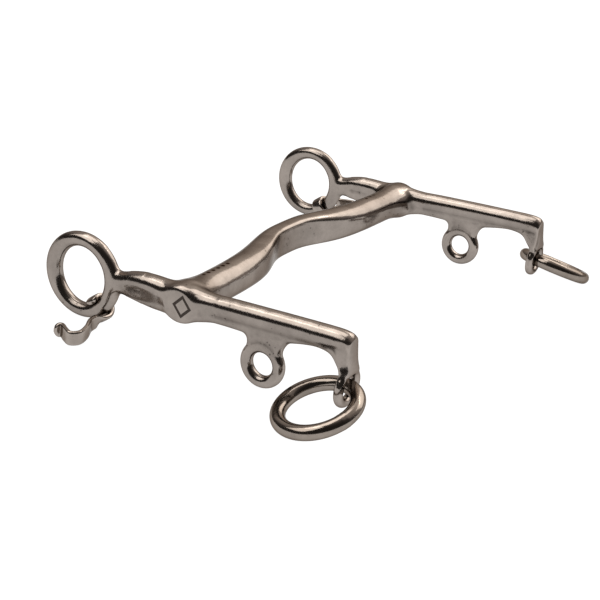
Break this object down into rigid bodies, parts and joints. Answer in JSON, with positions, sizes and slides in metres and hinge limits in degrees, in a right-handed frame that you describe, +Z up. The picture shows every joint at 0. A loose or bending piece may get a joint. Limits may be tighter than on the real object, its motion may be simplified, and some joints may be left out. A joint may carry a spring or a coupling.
{
  "type": "curb bit",
  "caption": "Curb bit with a low-ported mouthpiece, elbow cheeks with bridle eyes, lip-strap eyes and loose rein rings, and flat curb hooks",
  "frame": {"origin": "on the table, under the middle of the whole bit, as it lies at rest on its bridle eyes and lip-strap eyes", "axes": "+X across the mouth from the left cheek to the right, +Y from the boss toward the bridle eyes, +Z up from the table"},
  "size_m": [0.1778, 0.1234, 0.0267],
  "materials": {
    "cast_steel": "polished by hand, lightly worn",
    "strip_steel": "satin, rolled strip",
    "wire_steel": "polished wire"
  },
  "bodies": {
    "bit": {"mouthpiece": "cast_steel", "left_cheek": "cast_steel", "right_cheek": "cast_steel"},
    "left_hook": {"left_curb_hook": "strip_steel"},
    "right_hook": {"right_curb_hook": "strip_steel"},
    "left_ring": {"left_rein_ring": "wire_steel"},
    "right_ring": {"right_rein_ring": "wire_steel"}
  },
  "joints": [
    {"name": "left_hook_swing", "type": "hinge", "parent": "bit", "child": "left_hook", "pos_m": [-0.0665, 0.04172, 0.00472], "axis": [0, 0.7771, -0.6293], "continuous": true},
    {"name": "right_hook_swing", "type": "hinge", "parent": "bit", "child": "right_hook", "pos_m": [0.0665, 0.04172, 0.00472], "axis": [0, 0.7771, -0.6293], "continuous": true},
    {"name": "left_ring_swing", "type": "hinge", "parent": "bit", "child": "left_ring", "pos_m": [-0.0661, -0.0422, 0.0098], "axis": [0, 1, 0], "range_deg": [-196, 86]},
    {"name": "right_ring_swing", "type": "hinge", "parent": "bit", "child": "right_ring", "pos_m": [0.0689, -0.0433, 0.0098], "axis": [0, 1, 0], "range_deg": [-86, 196]}
  ]
}
